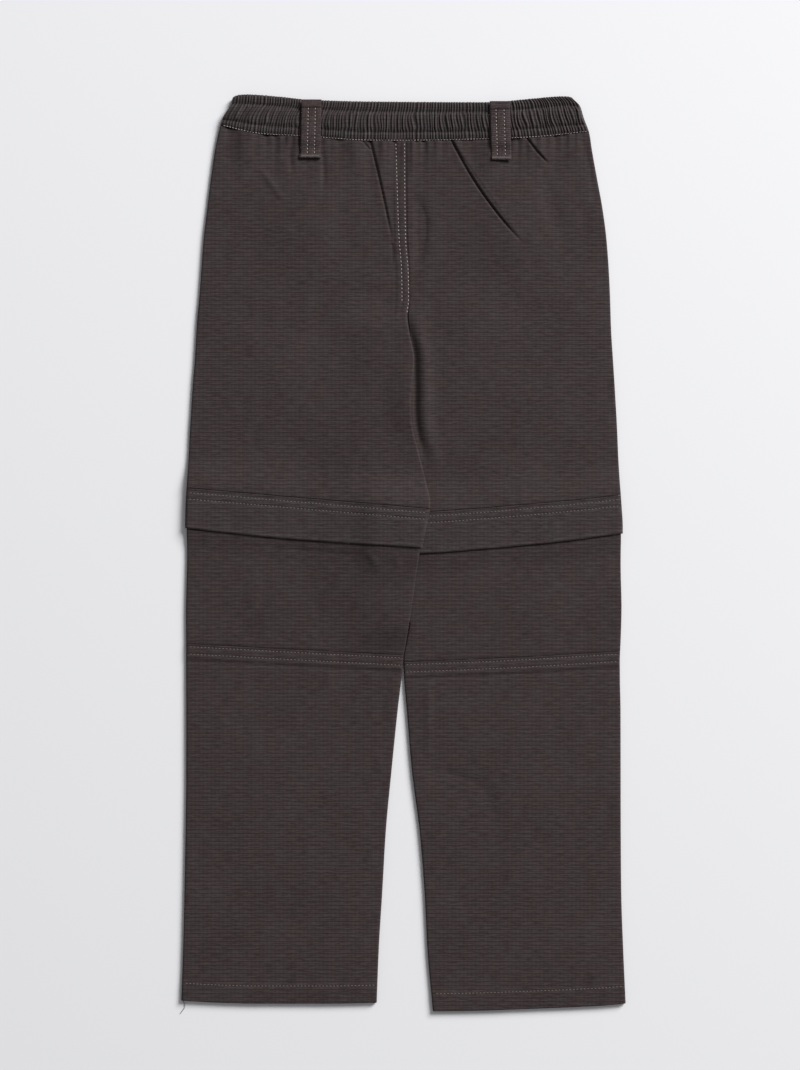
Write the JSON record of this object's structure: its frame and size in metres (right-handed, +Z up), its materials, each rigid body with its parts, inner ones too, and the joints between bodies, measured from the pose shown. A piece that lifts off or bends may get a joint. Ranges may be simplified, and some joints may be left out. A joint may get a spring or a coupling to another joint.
{
  "type": "straight-leg trousers",
  "caption": "Child's straight-leg trousers in dark ripstop cotton, laid flat with the back up: elastic waistband, belt loops, bands over the knees",
  "frame": {"origin": "middle of the garment's outline on the surface it lies on", "axes": "+X to the right as seen from above, +Y to the waistband, +Z up from the surface, out of the back panels"},
  "size_m": [0.3774, 0.7778, 0.0136],
  "materials": {
    "ripstop": "fine ripstop weave, soft and washed, matt",
    "band_ripstop": "the same cloth doubled, with two topstitched rows",
    "elastic_cloth": "the same cloth gathered over elastic",
    "loop_cloth": "the same cloth folded to a strip, worn paler at its edges"
  },
  "bodies": {
    "root": {"waistband_back": "elastic_cloth", "waistband_front": "elastic_cloth", "thigh_back_left": "ripstop", "thigh_back_right": "ripstop", "thigh_front_left": "ripstop", "thigh_front_right": "ripstop", "flap_back_left": "band_ripstop", "flap_back_right": "band_ripstop", "flap_front_left": "band_ripstop", "flap_front_right": "band_ripstop", "knee_back_left": "ripstop", "knee_back_right": "ripstop", "knee_front_left": "ripstop", "knee_front_right": "ripstop", "shin_back_left": "ripstop", "shin_back_right": "ripstop", "shin_front_left": "ripstop", "shin_front_right": "ripstop", "belt_loop_left": "loop_cloth", "belt_loop_right": "loop_cloth"}
  },
  "joints": []
}
